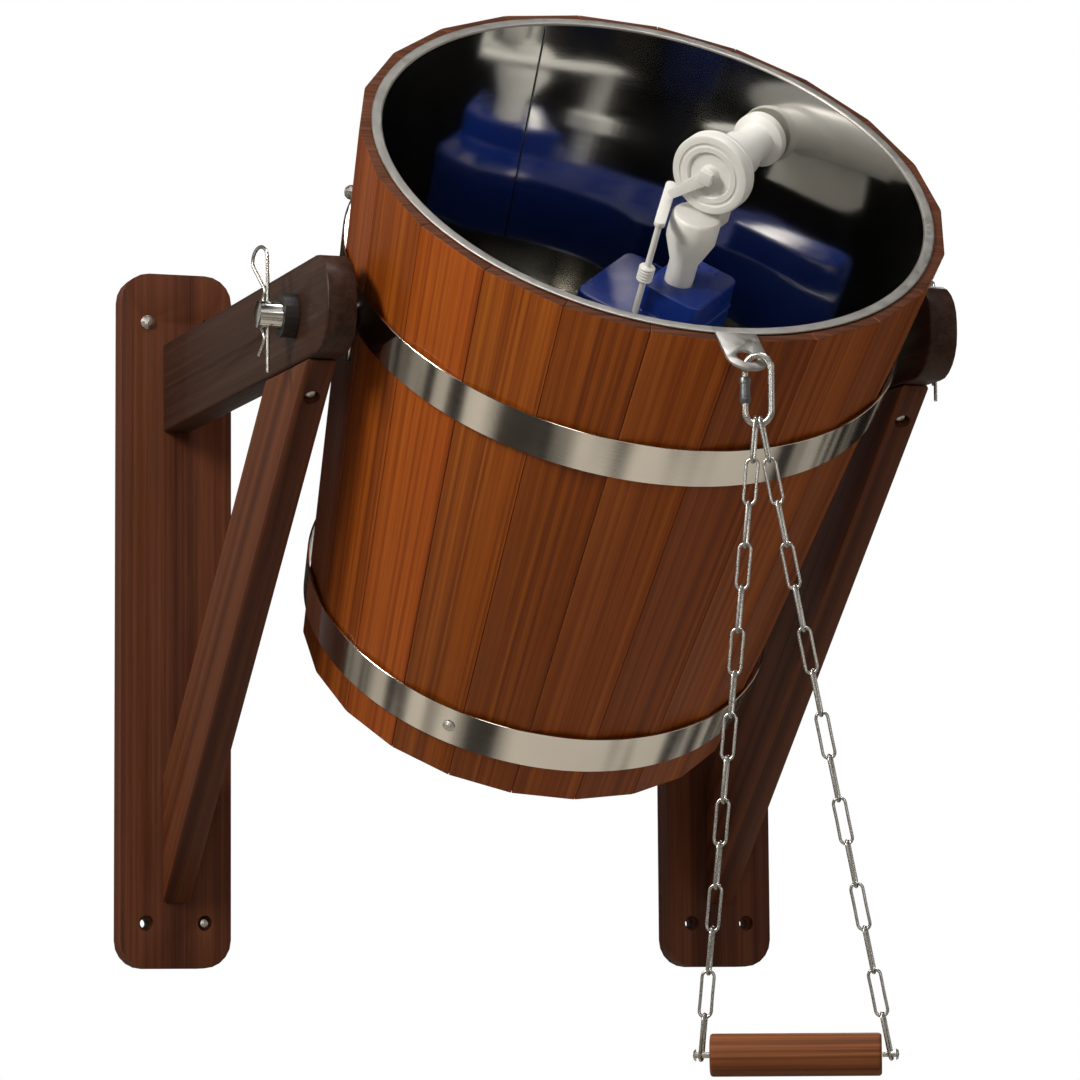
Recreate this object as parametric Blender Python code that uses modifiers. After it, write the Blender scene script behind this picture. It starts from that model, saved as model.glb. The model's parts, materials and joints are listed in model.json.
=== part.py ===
"""Wall-hung tipping shower bucket: a coopered bucket with a steel liner, carried on two wooden
wall brackets and pulled over by a wooden handle on two chains. A float valve refills it.

World frame in metres: the wall is the plane Y = 0, +X runs right along it, +Y into it, +Z up.
X = 0 is midway between the brackets and Z = 0 is the lower end of the wall boards.
The bucket is modelled upright about its axle line and hung in a tilted empty.
"""

import math

import bmesh
import bpy
from mathutils import Matrix, Vector

MM = 0.001
GAP = 0.3 * MM

# Wall brackets
BRACKET_X = 187 * MM
BOARD_WIDTH = 73 * MM
BOARD_HEIGHT = 450 * MM
BOARD_THICKNESS = 18 * MM
BOARD_CORNER = 18 * MM
BOARD_HOLE_X = 19.4 * MM
BOARD_HOLE_LOW = 29 * MM
BOARD_HOLE_HIGH = 418 * MM
BOARD_HOLE_RADIUS = 3 * MM
COUNTERBORE_RADIUS = 5 * MM
COUNTERBORE_DEPTH = 5 * MM
ARM_THICKNESS = 18 * MM
ARM_HEIGHT = 57 * MM
ARM_LENGTH = 378 * MM
ARM_END_RADIUS = 25 * MM
BRACE_FOOT_Z = 41 * MM
BRACE_SLOPE = 0.907
BRACE_CUT_HEIGHT = 81 * MM
BRACE_SCREW_DROP = 20 * MM
EDGE_BEVEL = 1.5 * MM

# Axle line and tilt
AXLE = Vector((0.0, -327 * MM, 375 * MM))
TILT = math.radians(43.3)
PIN_RADIUS = 8 * MM
PIN_END_X = 218 * MM
PIN_RUNNING_GAP = 0.1 * MM
CLIP_X = 212 * MM
CLIP_HOLE_RADIUS = 1.6 * MM
BUSH_RADIUS = 13 * MM
BUSH_LENGTH = 8.6 * MM
AXLE_PLATE_LOW = -22 * MM
AXLE_PLATE_HIGH = 7 * MM
AXLE_PLATE_WIDTH = 30 * MM
AXLE_PLATE_THICKNESS = 2 * MM
CLIP_YAW = math.radians(17)
SIDE_BOLT_Z = 57 * MM
SIDE_BOLT_RADIUS = 2 * MM

# Bucket, heights measured along its own axis from the axle line
STAVES = 22
STAVE_TOP = 113.5 * MM
STAVE_BOTTOM = -249.5 * MM
TOP_RADIUS = 176 * MM
BOTTOM_RADIUS = 139 * MM
STAVE_INNER_TOP = 163.6 * MM
TAPER = (TOP_RADIUS - BOTTOM_RADIUS) / (STAVE_TOP - STAVE_BOTTOM)
LINER_WALL = 1.0 * MM
FLANGE_RADIUS = 168.5 * MM
FLANGE_THICKNESS = 1.2 * MM
FLOOR_THICKNESS = 12 * MM
FLOOR_Z = -241.5 * MM
HOOP_WIDTH = 27 * MM
HOOP_THICKNESS = 1.2 * MM
HOOP_CLEARANCE = 0.6 * MM
UPPER_HOOP_Z = 21.5 * MM
LOWER_HOOP_Z = -210 * MM
RIVET_ANGLE = math.radians(234.7)
TURNED_STEPS = 66

# Pull tab, link, chains and handle
TAB_WIDTH = 24.6 * MM
TAB_THICKNESS = 2 * MM
TAB_HOLE_RADIUS = 6 * MM
TAB_HOLE_OUT = 191.5 * MM
LINK_LENGTH = 42 * MM
LINK_ARC_RADIUS = 7.4 * MM
LINK_WIRE_RADIUS = 1.9 * MM
LINK_YAW = math.radians(-36)
LINK_DROP_ANGLE = math.radians(138)
LINK_OUT = 2.5 * MM
LINK_GAP_LOW = -7 * MM
LINK_GAP_HIGH = -3 * MM
SLEEVE_LENGTH = 14.5 * MM
SLEEVE_RADIUS = 3.5 * MM
CHAIN_LINKS = 15
CHAIN_WIRE_RADIUS = 0.9 * MM
CHAIN_HALF_WIDTH = 3.4 * MM
CHAIN_FUSE = 0.25 * MM
CHAIN_TOP_SPREAD = 1.2 * MM
CHAIN_TOP_GAP = 2.4 * MM
HANDLE_CENTRE = Vector((21.2 * MM, -551 * MM, -53.8 * MM))
HANDLE_YAW = math.radians(-24)
HANDLE_LENGTH = 92.8 * MM
HANDLE_RADIUS = 11.65 * MM
HANDLE_SCREW_SHANK = 1.6 * MM
HANDLE_SCREW_REACH = 7.6 * MM
CHAIN_HANG = 4.7 * MM

# Float valve, in the bucket's frame
VALVE_ANGLE = math.radians(44.5)
VALVE_Z = 75 * MM
VALVE_TAIL_RADIUS = 10.2 * MM
VALVE_HOLE_RADIUS = 10.8 * MM
GUIDE_OUT = 86 * MM
GUIDE_RADIUS = 9 * MM
FLOAT_ROD_OUT = 58 * MM
FLOAT_ROD_SIDE = 11 * MM
FLOAT_TOP_Z = 0.0
FLOAT_STEP_Z = -18 * MM
FLOAT_BOTTOM_Z = -60 * MM
LEVER_PIVOT_OUT = 80 * MM
LEVER_PIVOT_SIDE = 19.5 * MM
LEVER_Z = 47 * MM

for old in list(bpy.data.objects):
    bpy.data.objects.remove(old)


def new_collection(name):
    made = bpy.data.collections.new(name)
    bpy.context.scene.collection.children.link(made)
    return made


PARTS = new_collection("tipping_shower_bucket")
CUTTERS = new_collection("cutters")


def material(name, colour, roughness, metallic=0.0):
    made = bpy.data.materials.new(name)
    made.use_nodes = True
    shader = made.node_tree.nodes["Principled BSDF"]
    shader.inputs["Base Color"].default_value = (*colour, 1.0)
    shader.inputs["Roughness"].default_value = roughness
    shader.inputs["Metallic"].default_value = metallic
    return made


DARK_WOOD = material("dark_stained_wood", (0.10, 0.035, 0.015), 0.5)
ARM_WOOD = material("arm_wood", (0.055, 0.03, 0.024), 0.45)
STAVE_WOOD = material("stave_wood", (0.30, 0.11, 0.025), 0.4)
HANDLE_WOOD = material("handle_wood", (0.22, 0.09, 0.045), 0.5)
STEEL = material("stainless_steel", (0.75, 0.74, 0.72), 0.15, 1.0)
ZINC = material("zinc_plate", (0.70, 0.71, 0.70), 0.3, 1.0)
DARK_ZINC = material("dark_zinc", (0.28, 0.29, 0.30), 0.4, 1.0)
BUSH_PLASTIC = material("bush_plastic", (0.02, 0.018, 0.016), 0.5)
WHITE_PLASTIC = material("white_plastic", (0.80, 0.80, 0.78), 0.4)
BLUE_PLASTIC = material("blue_plastic", (0.01, 0.04, 0.35), 0.3)


def add_mesh(name, mesh, mat, parent=None, collection=PARTS):
    made = bpy.data.objects.new(name, mesh)
    mesh.materials.clear()
    mesh.materials.append(mat)
    made.parent = parent
    collection.objects.link(made)
    return made


def finish_mesh(shape, name):
    bmesh.ops.recalc_face_normals(shape, faces=shape.faces)
    mesh = bpy.data.meshes.new(name)
    shape.to_mesh(mesh)
    shape.free()
    mesh.shade_smooth()
    mesh.set_sharp_from_angle(angle=math.radians(35))
    return mesh


def box_mesh(name, low, high, bevel_along=None, radius=0.0, segments=1):
    """A box between two corners; the edges running along one axis may be rounded."""
    low = Vector(low)
    high = Vector(high)
    shape = bmesh.new()
    bmesh.ops.create_cube(shape, size=1.0)
    for vert in shape.verts:
        vert.co = Vector(low[i] if vert.co[i] < 0 else high[i] for i in range(3))
    if bevel_along is not None:
        edges = [e for e in shape.edges if abs((e.verts[0].co - e.verts[1].co)[bevel_along]) > 1e-6]
        bmesh.ops.bevel(shape, geom=edges, offset=radius, segments=segments, affect="EDGES", profile=0.5)
    return finish_mesh(shape, name)


def cylinder_mesh(name, radius, low, high, axis="Z", segments=24, radius_high=None):
    """A cylinder or cone on a coordinate axis, from the coordinate low to high."""
    shape = bmesh.new()
    top = radius if radius_high is None else radius_high
    bmesh.ops.create_cone(
        shape, cap_ends=True, segments=segments, radius1=radius, radius2=top, depth=high - low
    )
    bmesh.ops.translate(shape, verts=shape.verts, vec=(0, 0, (low + high) / 2))
    if axis != "Z":
        turn = Matrix.Rotation(math.radians(90), 4, "Y")
        if axis == "Y":
            turn = Matrix.Rotation(math.radians(-90), 4, "X")
        bmesh.ops.transform(shape, verts=shape.verts, matrix=turn)
    return finish_mesh(shape, name)


def turned(name, profile, mat, parent=None, steps=24, closed=False, collection=PARTS):
    """A turned piece about its own Z. The profile runs down the outer side, as (radius, z)."""
    mesh = bpy.data.meshes.new(name)
    edges = [(i, i + 1) for i in range(len(profile) - 1)]
    if closed:
        edges.append((len(profile) - 1, 0))
    mesh.from_pydata([(r, 0, z) for r, z in profile], edges, [])
    made = add_mesh(name, mesh, mat, parent, collection)
    screw = made.modifiers.new("turn", "SCREW")
    screw.axis = "Z"
    screw.steps = steps
    screw.render_steps = steps
    screw.use_merge_vertices = True
    screw.merge_threshold = 0.00005
    screw.use_smooth_shade = True
    return made


def evaluated_mesh(source, name):
    """Turns a curve or a modified object into a plain mesh and removes the source."""
    bpy.context.view_layer.update()
    graph = bpy.context.evaluated_depsgraph_get()
    mesh = bpy.data.meshes.new_from_object(source.evaluated_get(graph))
    mesh.name = name
    shape = bmesh.new()
    shape.from_mesh(mesh)
    bmesh.ops.remove_doubles(shape, verts=shape.verts, dist=1e-6)
    bmesh.ops.recalc_face_normals(shape, faces=shape.faces)
    shape.to_mesh(mesh)
    shape.free()
    bpy.data.objects.remove(source)
    return mesh


def wire_curve(name, points, radius, cyclic=False, resolution=1):
    curve = bpy.data.curves.new(name, "CURVE")
    curve.dimensions = "3D"
    curve.bevel_depth = radius
    curve.bevel_resolution = resolution
    curve.use_fill_caps = not cyclic
    spline = curve.splines.new("POLY")
    spline.points.add(len(points) - 1)
    for slot, point in zip(spline.points, points):
        slot.co = (*point, 1.0)
    spline.use_cyclic_u = cyclic
    spline.use_smooth = True
    return curve


def wire(name, points, radius, mat, cyclic=False, resolution=1):
    """A round wire through points, as a welded mesh object in the world frame."""
    source = bpy.data.objects.new(name + "_path", wire_curve(name, points, radius, cyclic, resolution))
    CUTTERS.objects.link(source)
    mesh = evaluated_mesh(source, name)
    return add_mesh(name, mesh, mat)


def plate_mesh(name, outline, thickness):
    """A flat outline in XY with its thickness centred on Z = 0."""
    curve = bpy.data.curves.new(name, "CURVE")
    curve.dimensions = "2D"
    curve.fill_mode = "BOTH"
    curve.extrude = thickness / 2
    spline = curve.splines.new("POLY")
    spline.points.add(len(outline) - 1)
    for slot, (x, y) in zip(spline.points, outline):
        slot.co = (x, y, 0, 1)
    spline.use_cyclic_u = True
    source = bpy.data.objects.new(name + "_outline", curve)
    CUTTERS.objects.link(source)
    return evaluated_mesh(source, name)


def arc(centre, radius, start, end, count):
    """Points on an arc, angles in degrees."""
    angles = [math.radians(start + (end - start) * i / count) for i in range(count + 1)]
    return [(centre[0] + radius * math.cos(a), centre[1] + radius * math.sin(a)) for a in angles]


def cutter(name, mesh, parent=None, matrix=None):
    made = add_mesh(name, mesh, ZINC, parent, CUTTERS)
    made.hide_render = True
    made.display_type = "WIRE"
    if matrix is not None:
        made.matrix_local = matrix
    return made


def combine(target, tool, operation="DIFFERENCE"):
    boolean = target.modifiers.new(operation.lower(), "BOOLEAN")
    boolean.operation = operation
    boolean.object = tool
    boolean.solver = "EXACT"


def edge_bevel(target, width, segments=1):
    bevel = target.modifiers.new("edges", "BEVEL")
    bevel.width = width
    bevel.segments = segments
    bevel.limit_method = "ANGLE"
    bevel.angle_limit = math.radians(40)


def outer_radius(z):
    """Corner radius of the stave polygon at a height on the bucket's axis."""
    return TOP_RADIUS - TAPER * (STAVE_TOP - z)


def inner_apothem(z):
    return STAVE_INNER_TOP - TAPER * (STAVE_TOP - z)


# ---------------------------------------------------------------- wall brackets


def wall_screw(name, x, z, recess):
    """A dome-head screw along Y with its head on the board's face, or sunk in the counterbore."""
    length = BOARD_THICKNESS - recess
    head = 4.6 * MM if recess == 0 else 4.2 * MM
    profile = [
        (0, 2.8 * MM),
        (head * 0.6, 2.3 * MM),
        (head, GAP),
        (2.5 * MM, GAP),
        (2.5 * MM, GAP - length + 1 * MM),
        (0, GAP - length + 1 * MM),
    ]
    made = turned(name, profile, ZINC, steps=16)
    made.rotation_euler = (math.radians(90), 0, 0)
    made.location = (x, -length, z)


def wall_board(side, name):
    x = side * BRACKET_X
    low = (x - BOARD_WIDTH / 2, -BOARD_THICKNESS, 0)
    high = (x + BOARD_WIDTH / 2, 0, BOARD_HEIGHT)
    board = add_mesh(name, box_mesh(name, low, high, 1, BOARD_CORNER, 5), DARK_WOOD)
    for column in (-1, 1):
        for row in (BOARD_HOLE_LOW, BOARD_HOLE_HIGH):
            spot = (x + column * BOARD_HOLE_X, row)
            hole_name = f"{name}_hole_{column}_{round(row * 1000)}"
            hole = cylinder_mesh(hole_name, BOARD_HOLE_RADIUS, -0.03, 0.01, "Y", 24)
            combine(board, cutter(hole_name, hole, matrix=Matrix.Translation((spot[0], 0, spot[1]))))
            if row == BOARD_HOLE_LOW:
                sink = cylinder_mesh(hole_name + "_sink", COUNTERBORE_RADIUS, -0.03, 0, "Y", 16)
                face = -BOARD_THICKNESS + COUNTERBORE_DEPTH
                place = Matrix.Translation((spot[0], face, spot[1]))
                combine(board, cutter(hole_name + "_sink", sink, matrix=place))


def arm(side, name):
    x = side * BRACKET_X
    back = -BOARD_THICKNESS - GAP
    front = -BOARD_THICKNESS - ARM_LENGTH
    low_z = AXLE.z - ARM_HEIGHT / 2
    high_z = AXLE.z + ARM_HEIGHT / 2
    nose_z = ((low_z + ARM_END_RADIUS), (high_z - ARM_END_RADIUS))
    outline = [(back, low_z), (back, high_z)]
    outline += arc((front + ARM_END_RADIUS, nose_z[1]), ARM_END_RADIUS, 90, 180, 6)
    outline += arc((front + ARM_END_RADIUS, nose_z[0]), ARM_END_RADIUS, 180, 270, 6)
    made = add_mesh(name, plate_mesh(name, outline, ARM_THICKNESS), ARM_WOOD)
    made.matrix_world = side_plate_matrix(x)
    edge_bevel(made, EDGE_BEVEL)
    bore = cylinder_mesh(name + "_bore", PIN_RADIUS + PIN_RUNNING_GAP, -0.03, 0.03, "X", 24)
    combine(made, cutter(name + "_bore", bore, matrix=Matrix.Translation(AXLE + Vector((x, 0, 0)))))


def side_plate_matrix(x):
    """Stands an outline drawn as (Y, Z) upright in the plane X = x."""
    return Matrix(((0, 0, 1, x), (1, 0, 0, 0), (0, 1, 0, 0), (0, 0, 0, 1)))


def brace(side, name):
    """A straight board cut level under the arm and plumb against the wall board."""
    x = side * BRACKET_X
    back = -BOARD_THICKNESS - GAP
    top = AXLE.z - ARM_HEIGHT / 2 - GAP
    foot = BRACE_FOOT_Z
    heel = foot + BRACE_CUT_HEIGHT
    front_y = back - (top - foot) / BRACE_SLOPE
    rear_y = back - (top - heel) / BRACE_SLOPE
    outline = [(back, foot), (back, heel), (rear_y, top), (front_y, top)]
    made = add_mesh(name, plate_mesh(name, outline, ARM_THICKNESS), DARK_WOOD)
    made.matrix_world = side_plate_matrix(x)
    edge_bevel(made, EDGE_BEVEL)
    screw_z = top - BRACE_SCREW_DROP
    screw_y = back - (screw_z - foot) / BRACE_SLOPE
    slant = math.atan2(BRACE_SLOPE, 1.0)
    outward = Matrix.Translation((x, screw_y, screw_z)) @ Matrix.Rotation(math.pi - slant, 4, "X")
    sink = cylinder_mesh(name + "_sink", 4.8 * MM, -8 * MM, 8 * MM, "Z", 16)
    combine(made, cutter(name + "_sink", sink, matrix=outward))
    head = turned(
        name + "_screw",
        [(0, -3.2 * MM), (2.6 * MM, -3.6 * MM), (4.2 * MM, -5 * MM), (4.2 * MM, -7.7 * MM), (0, -7.7 * MM)],
        ZINC,
        steps=16,
    )
    head.matrix_world = outward


for side_sign, side_name in ((-1, "left"), (1, "right")):
    wall_board(side_sign, side_name + "_wall_board")
    arm(side_sign, side_name + "_arm")
    brace(side_sign, side_name + "_brace")
wall_screw("left_upper_wall_screw", -BRACKET_X - BOARD_HOLE_X, BOARD_HOLE_HIGH, 0)
wall_screw("left_lower_wall_screw", -BRACKET_X + BOARD_HOLE_X, BOARD_HOLE_LOW, COUNTERBORE_DEPTH)

# ---------------------------------------------------------------- bucket

BUCKET = bpy.data.objects.new("bucket_frame", None)
BUCKET.location = AXLE
BUCKET.rotation_euler = (TILT, 0, 0)
PARTS.objects.link(BUCKET)
VALVE = bpy.data.objects.new("valve_frame", None)
VALVE.parent = BUCKET
VALVE.location = (0, 0, VALVE_Z)
VALVE.rotation_euler = (0, 0, VALVE_ANGLE)
PARTS.objects.link(VALVE)
bpy.context.view_layer.update()
BUCKET_MATRIX = Matrix.Translation(AXLE) @ Matrix.Rotation(TILT, 4, "X")


def stave(index):
    """A tapered plank: a cube whose corners follow the bucket's cone and the half stave angle."""
    name = f"stave_{index + 1:02d}"
    half = math.pi / STAVES
    shape = bmesh.new()
    bmesh.ops.create_cube(shape, size=2.0)
    for vert in shape.verts:
        z = STAVE_TOP if vert.co.z > 0 else STAVE_BOTTOM
        out = outer_radius(z) * math.cos(half) if vert.co.x > 0 else inner_apothem(z)
        width = out * math.tan(half) - GAP / 2
        vert.co = Vector((out, math.copysign(width, vert.co.y), z))
    made = add_mesh(name, finish_mesh(shape, name), STAVE_WOOD, BUCKET)
    made.rotation_euler = (0, 0, 2 * half * index)
    return made


STAVE_LIST = [stave(index) for index in range(STAVES)]


def liner():
    floor_under = FLOOR_Z + FLOOR_THICKNESS + GAP
    top_under = STAVE_TOP + GAP
    wall_top = inner_apothem(STAVE_TOP) - GAP
    wall_low = inner_apothem(floor_under) - GAP
    profile = [
        (0, floor_under + LINER_WALL),
        (wall_low - 2 * LINER_WALL, floor_under + LINER_WALL),
        (wall_low - LINER_WALL, floor_under + 2 * LINER_WALL),
        (wall_top - LINER_WALL, top_under + FLANGE_THICKNESS * 0.6),
        (wall_top, top_under + FLANGE_THICKNESS),
        (FLANGE_RADIUS, top_under + FLANGE_THICKNESS),
        (FLANGE_RADIUS, top_under),
        (wall_top, top_under),
        (wall_low, floor_under + LINER_WALL),
        (wall_low - LINER_WALL, floor_under),
        (0, floor_under),
    ]
    return turned("liner", profile, STEEL, BUCKET, steps=TURNED_STEPS)


def bottom_board():
    low = inner_apothem(FLOOR_Z) - GAP
    high = inner_apothem(FLOOR_Z + FLOOR_THICKNESS) - GAP
    mesh = cylinder_mesh("bottom_board", low, FLOOR_Z, FLOOR_Z + FLOOR_THICKNESS, "Z", 44, high)
    add_mesh("bottom_board", mesh, STAVE_WOOD, BUCKET)


def hoop(name, centre_z):
    top = centre_z + HOOP_WIDTH / 2
    low = centre_z - HOOP_WIDTH / 2
    inner_top = outer_radius(top) + HOOP_CLEARANCE
    inner_low = outer_radius(low) + HOOP_CLEARANCE
    profile = [
        (inner_top + HOOP_THICKNESS, top),
        (inner_low + HOOP_THICKNESS, low),
        (inner_low, low),
        (inner_top, top),
    ]
    return turned(name, profile, STEEL, BUCKET, steps=TURNED_STEPS, closed=True)


def radial_matrix(angle, out, z, lean=0.0):
    """Local +Z of the result points outward from the bucket's axis, leaning with the taper."""
    spin = Matrix.Rotation(angle, 4, "Z") @ Matrix.Translation((out, 0, z))
    return spin @ Matrix.Rotation(math.radians(90) - lean, 4, "Y")


def hoop_rivet():
    out = outer_radius(LOWER_HOOP_Z) + HOOP_CLEARANCE + HOOP_THICKNESS + GAP
    profile = [(0, 2.4 * MM), (2.2 * MM, 1.9 * MM), (3.6 * MM, 0.6 * MM), (3.9 * MM, 0), (0, 0)]
    made = turned("lower_hoop_rivet", profile, ZINC, BUCKET, steps=14)
    made.matrix_local = radial_matrix(RIVET_ANGLE, out, LOWER_HOOP_Z, -math.atan(TAPER))


def pull_tab():
    """A strip with a round end, drawn in the XY plane of the bucket, pointing along -Y."""
    half = TAB_WIDTH / 2
    root = -FLANGE_RADIUS - GAP
    outline = [(half, root), (-half, root)]
    outline += arc((0, -TAB_HOLE_OUT), half, 180, 360, 10)
    made = add_mesh("pull_tab", plate_mesh("pull_tab", outline, TAB_THICKNESS), STEEL, BUCKET)
    made.location = (0, 0, tab_z())
    hole = cylinder_mesh("pull_tab_hole", TAB_HOLE_RADIUS, -0.01, 0.01, "Z", 20)
    place = Matrix.Translation((0, -TAB_HOLE_OUT, tab_z()))
    combine(made, cutter("pull_tab_hole", hole, BUCKET, place))


def tab_z():
    return STAVE_TOP + GAP + TAB_THICKNESS / 2


def stave_flat(z):
    """Distance from the bucket's axis to the middle of a stave's outer face."""
    return outer_radius(z) * math.cos(math.pi / STAVES)


def axle(side, name):
    """A plate on the side stave with the bearing pin welded to it, cross-drilled for the clip."""
    lean = math.atan(TAPER * math.cos(math.pi / STAVES))
    plate = box_mesh(
        name,
        (-AXLE_PLATE_HIGH, -AXLE_PLATE_WIDTH / 2, GAP),
        (-AXLE_PLATE_LOW, AXLE_PLATE_WIDTH / 2, GAP + AXLE_PLATE_THICKNESS),
        2,
        4 * MM,
        2,
    )
    angle = 0 if side > 0 else math.pi
    made = add_mesh(name, plate, STEEL, BUCKET)
    made.matrix_local = radial_matrix(angle, stave_flat(0), 0, -lean)
    pin_start = stave_flat(0) + 1.6 * MM
    pin = cylinder_mesh(name + "_pin", PIN_RADIUS, pin_start, PIN_END_X, "X", 24)
    combine(made, cutter(name + "_pin", pin, BUCKET, Matrix.Rotation(angle, 4, "Z")), "UNION")
    cross = cylinder_mesh(name + "_cross", CLIP_HOLE_RADIUS, -0.02, 0.02, "Z", 10)
    place = Matrix.Rotation(-TILT, 4, "X") @ Matrix.Translation((side * CLIP_X, 0, 0))
    combine(made, cutter(name + "_cross", cross, BUCKET, place))


def side_bolt(side, name):
    """A dome-head bolt in the stave behind the axle's."""
    lean = math.atan(TAPER * math.cos(math.pi / STAVES))
    index = 1 if side > 0 else STAVES // 2 - 1
    seat = radial_matrix(2 * math.pi * index / STAVES, stave_flat(SIDE_BOLT_Z), SIDE_BOLT_Z, -lean)
    hole = cylinder_mesh(name + "_hole", SIDE_BOLT_RADIUS + GAP, -8 * MM, 8 * MM, "Z", 12)
    combine(STAVE_LIST[index], cutter(name + "_hole", hole, BUCKET, seat))
    profile = [
        (0, GAP + 4.6 * MM),
        (2.4 * MM, GAP + 4.1 * MM),
        (4.1 * MM, GAP + 2.2 * MM),
        (4.5 * MM, GAP),
        (SIDE_BOLT_RADIUS, GAP),
        (SIDE_BOLT_RADIUS, -7.5 * MM),
        (0, -7.5 * MM),
    ]
    bolt = turned(name, profile, ZINC, BUCKET, steps=14)
    bolt.matrix_local = seat


def axle_bush(side, name):
    near = BRACKET_X + ARM_THICKNESS / 2 + GAP
    far = near + BUSH_LENGTH
    bore = PIN_RADIUS + GAP
    profile = [(BUSH_RADIUS, far), (BUSH_RADIUS, near), (bore, near), (bore, far)]
    made = turned(name, profile, BUSH_PLASTIC, BUCKET, steps=24, closed=True)
    made.rotation_euler = (0, math.radians(90) * side, 0)


def r_clip(side, name):
    """A spring clip in a plumb plane, turned a little off square to the pin: leg, eye and waved leg."""
    wire_radius = 1.1 * MM
    hug = (PIN_RADIUS + wire_radius + GAP) / math.cos(CLIP_YAW)
    eye = 8 * MM
    eye_z = 33 * MM
    points = [(0, -34 * MM), (0, 20 * MM)]
    points += arc((eye, eye_z), eye, 180, -20, 12)
    points += [(2.9 * MM, 14 * MM), (4.6 * MM, 10.5 * MM)]
    points += arc((0, 0), hug, 50, -50, 8)
    points += [(4.6 * MM, -10.5 * MM), (3.2 * MM, -13.5 * MM), (6 * MM, -18 * MM), (9.5 * MM, -23 * MM)]
    swing = Matrix.Rotation(-CLIP_YAW * side, 4, "Z")
    centre = AXLE + Vector((side * CLIP_X, 0, 0))
    path = [centre + swing @ Vector((0, y, z)) for y, z in points]
    wire(name, path, wire_radius, ZINC, resolution=1)


LINER = liner()
bottom_board()
hoop("upper_hoop", UPPER_HOOP_Z)
hoop("lower_hoop", LOWER_HOOP_Z)
hoop_rivet()
pull_tab()
for side_sign, side_name in ((-1, "left"), (1, "right")):
    axle(side_sign, side_name + "_axle")
    side_bolt(side_sign, side_name + "_side_bolt")
    axle_bush(side_sign, side_name + "_axle_bush")
    r_clip(side_sign, side_name + "_r_clip")

# ---------------------------------------------------------------- float valve


def lay_out(made):
    """Turns a piece so that its own Z runs outward along the valve's inlet."""
    made.rotation_euler = (0, math.radians(90), 0)


def valve_body():
    hole = cylinder_mesh("valve_hole", VALVE_HOLE_RADIUS, 0.13, 0.20, "X", 24)
    hole_tool = cutter("valve_hole", hole, VALVE)
    hole_tool.location = (0, 0, 0)
    combine(LINER, hole_tool)
    for index in (2, 3):
        combine(STAVE_LIST[index], hole_tool)
    tail = VALVE_TAIL_RADIUS
    profile = [
        (0, 196 * MM),
        (tail - 1 * MM, 196 * MM),
        (tail, 195 * MM),
        (tail, 155.6 * MM),
        (17 * MM, 155.6 * MM),
        (17 * MM, 149 * MM),
        (12 * MM, 147 * MM),
        (12 * MM, 128 * MM),
        (14.5 * MM, 126 * MM),
        (14.5 * MM, 105 * MM),
        (19 * MM, 102 * MM),
        (19 * MM, 98.3 * MM),
        (0, 98.3 * MM),
    ]
    lay_out(turned("valve_body", profile, WHITE_PLASTIC, VALVE, steps=24))


def valve_cap():
    profile = [
        (0, 98 * MM),
        (24 * MM, 98 * MM),
        (25.5 * MM, 96.5 * MM),
        (25.5 * MM, 88 * MM),
        (24 * MM, 86.5 * MM),
        (15 * MM, 86.5 * MM),
        (14 * MM, 88.5 * MM),
        (6 * MM, 88.5 * MM),
        (5 * MM, 84 * MM),
        (0, 84 * MM),
    ]
    lay_out(turned("valve_cap", profile, WHITE_PLASTIC, VALVE, steps=32))


def valve_lock_nut():
    near = 175.8 * MM
    nut = cylinder_mesh("valve_lock_nut", 16 * MM, near, near + 8 * MM, "X", 6)
    made = add_mesh("valve_lock_nut", nut, WHITE_PLASTIC, VALVE)
    bore = cylinder_mesh("valve_nut_bore", VALVE_TAIL_RADIUS + GAP, near - 0.01, near + 0.02, "X", 24)
    combine(made, cutter("valve_nut_bore", bore, VALVE))


def valve_guide():
    """The column the float rides on, its foot, and the neck that hangs it from the valve body."""
    base = VALVE_Z
    foot = FLOAT_BOTTOM_Z - GAP - base
    profile = [
        (0, 47 * MM - base),
        (14 * MM, 47 * MM - base),
        (15.5 * MM, 45 * MM - base),
        (15.5 * MM, 30 * MM - base),
        (GUIDE_RADIUS, 13 * MM - base),
        (GUIDE_RADIUS, foot),
        (GUIDE_RADIUS + 4 * MM, foot),
        (GUIDE_RADIUS + 4 * MM, foot - 2.5 * MM),
        (0, foot - 2.5 * MM),
    ]
    column = turned("valve_guide", profile, WHITE_PLASTIC, VALVE, steps=20)
    column.location = (GUIDE_OUT, 0, 0)
    neck = box_mesh("valve_neck", (-12 * MM, -9 * MM, 34 * MM - base), (30 * MM, 9 * MM, 46 * MM - base))
    combine(column, cutter("valve_neck", neck, VALVE, Matrix.Translation((GUIDE_OUT, 0, 0))), "UNION")
    strut = box_mesh("valve_strut", (20.5 * MM, -8 * MM, 40 * MM - base), (30 * MM, 8 * MM, -14.5 * MM - GAP))
    combine(column, cutter("valve_strut", strut, VALVE, Matrix.Translation((GUIDE_OUT, 0, 0))), "UNION")


def valve_lever():
    """The balanced arm whose inner end the float rod lifts. Its own origin is its pivot."""
    run = Vector((FLOAT_ROD_OUT - LEVER_PIVOT_OUT, FLOAT_ROD_SIDE - LEVER_PIVOT_SIDE, 0))
    outline = arc((-run.length, 0), 3.5 * MM, 90, 270, 6)
    outline += arc((run.length, 0), 3.5 * MM, -90, 90, 6)
    made = add_mesh("valve_lever", plate_mesh("valve_lever", outline, 3.5 * MM), WHITE_PLASTIC, VALVE)
    made.location = (LEVER_PIVOT_OUT, LEVER_PIVOT_SIDE, LEVER_Z - VALVE_Z)
    made.rotation_euler = (0, 0, math.atan2(run.y, run.x))


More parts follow.
